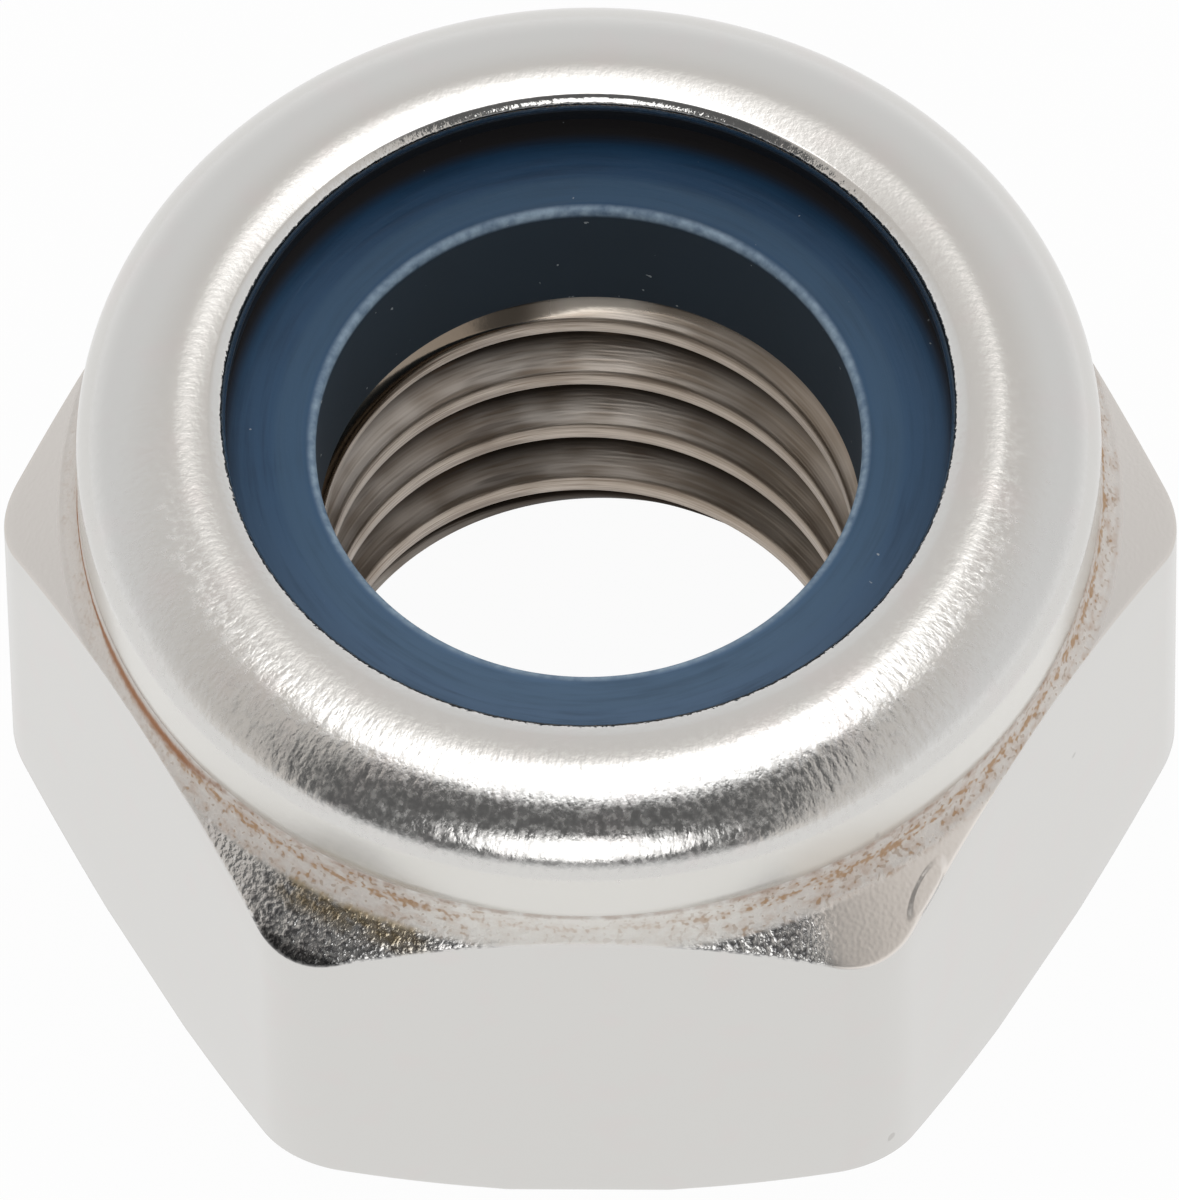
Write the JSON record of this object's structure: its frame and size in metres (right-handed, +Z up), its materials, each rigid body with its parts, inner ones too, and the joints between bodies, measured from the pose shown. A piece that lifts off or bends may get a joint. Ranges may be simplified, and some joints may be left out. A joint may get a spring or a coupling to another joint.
{
  "type": "nylon insert lock nut",
  "caption": "Thin hexagon lock nut with a coarse metric thread and a rolled collar that holds a blue nylon ring, which grips the bolt so that the nut can't shake loose.",
  "frame": {"origin": "centre of the bearing face, on the thread's axis", "axes": "+Z up the thread's axis towards the nylon ring; +X through a corner of the hexagon; +Y through the middle of a flat"},
  "size_m": [0.0146, 0.013, 0.008],
  "materials": {
    "plated_steel": "bright plating, satin on the flats and polished by rolling on the collar, with brown residue in the corners",
    "blue_nylon": "dark blue nylon, satin, with fine turning lines"
  },
  "bodies": {
    "root": {"nut_body": "plated_steel", "nylon_ring": "blue_nylon"}
  },
  "joints": []
}
